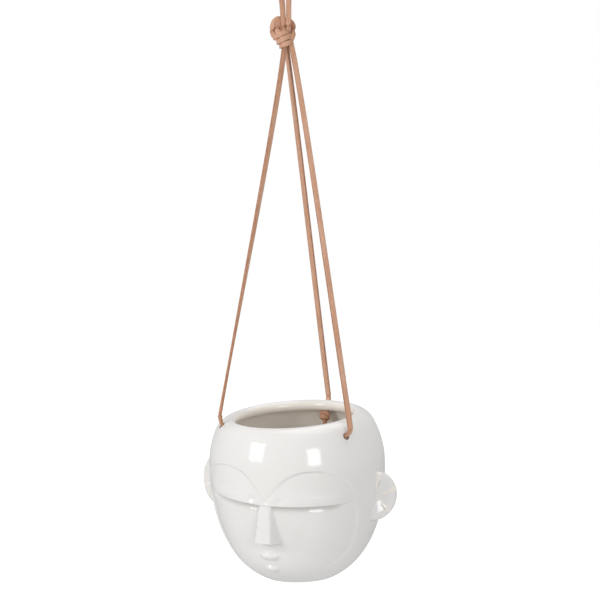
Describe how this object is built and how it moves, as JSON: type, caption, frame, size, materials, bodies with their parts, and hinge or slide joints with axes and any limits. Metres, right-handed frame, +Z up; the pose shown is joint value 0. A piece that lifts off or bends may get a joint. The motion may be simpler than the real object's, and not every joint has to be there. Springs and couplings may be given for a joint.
{
  "type": "hanging plant pot",
  "caption": "Glazed head-shaped hanging planter with a closed-eyed mask face, small ears and a rolled rim, hung by flat leather laces from one knotted loop.",
  "frame": {"origin": "the point on top of the hook where the leather loop hangs", "axes": "+Z up, the face looks along -Y, +X towards the face's left ear"},
  "size_m": [0.1919, 0.16, 0.5656],
  "materials": {
    "glaze": "glossy white glaze",
    "leather": "natural vegetable-tanned thong, matt"
  },
  "bodies": {
    "fold": {"loop_fold": "leather"},
    "strands": {"loop_strands": "leather"},
    "knot": {"hanging_knot": "leather"},
    "planter": {"pot": "glaze", "lace_left": "leather", "lace_back": "leather", "lace_right": "leather", "stopper_knot_left": "leather", "stopper_knot_back": "leather", "stopper_knot_right": "leather"}
  },
  "joints": [
    {"name": "swing_side", "type": "hinge", "parent": "fold", "child": "strands", "pos_m": [0, 0, -0.005], "axis": [0, 1, 0], "range_deg": [-20, 20], "deforming": ["loop_strands"]},
    {"name": "swing_front", "type": "hinge", "parent": "strands", "child": "knot", "pos_m": [0, 0, -0.005], "axis": [1, 0, 0], "range_deg": [-20, 20], "deforming": ["loop_strands"]},
    {"name": "turn", "type": "hinge", "parent": "knot", "child": "planter", "pos_m": [0, 0, -0.0813], "axis": [0, 0, 1], "range_deg": [-90, 90], "stiffness_Nm_per_rad": 0.003}
  ]
}
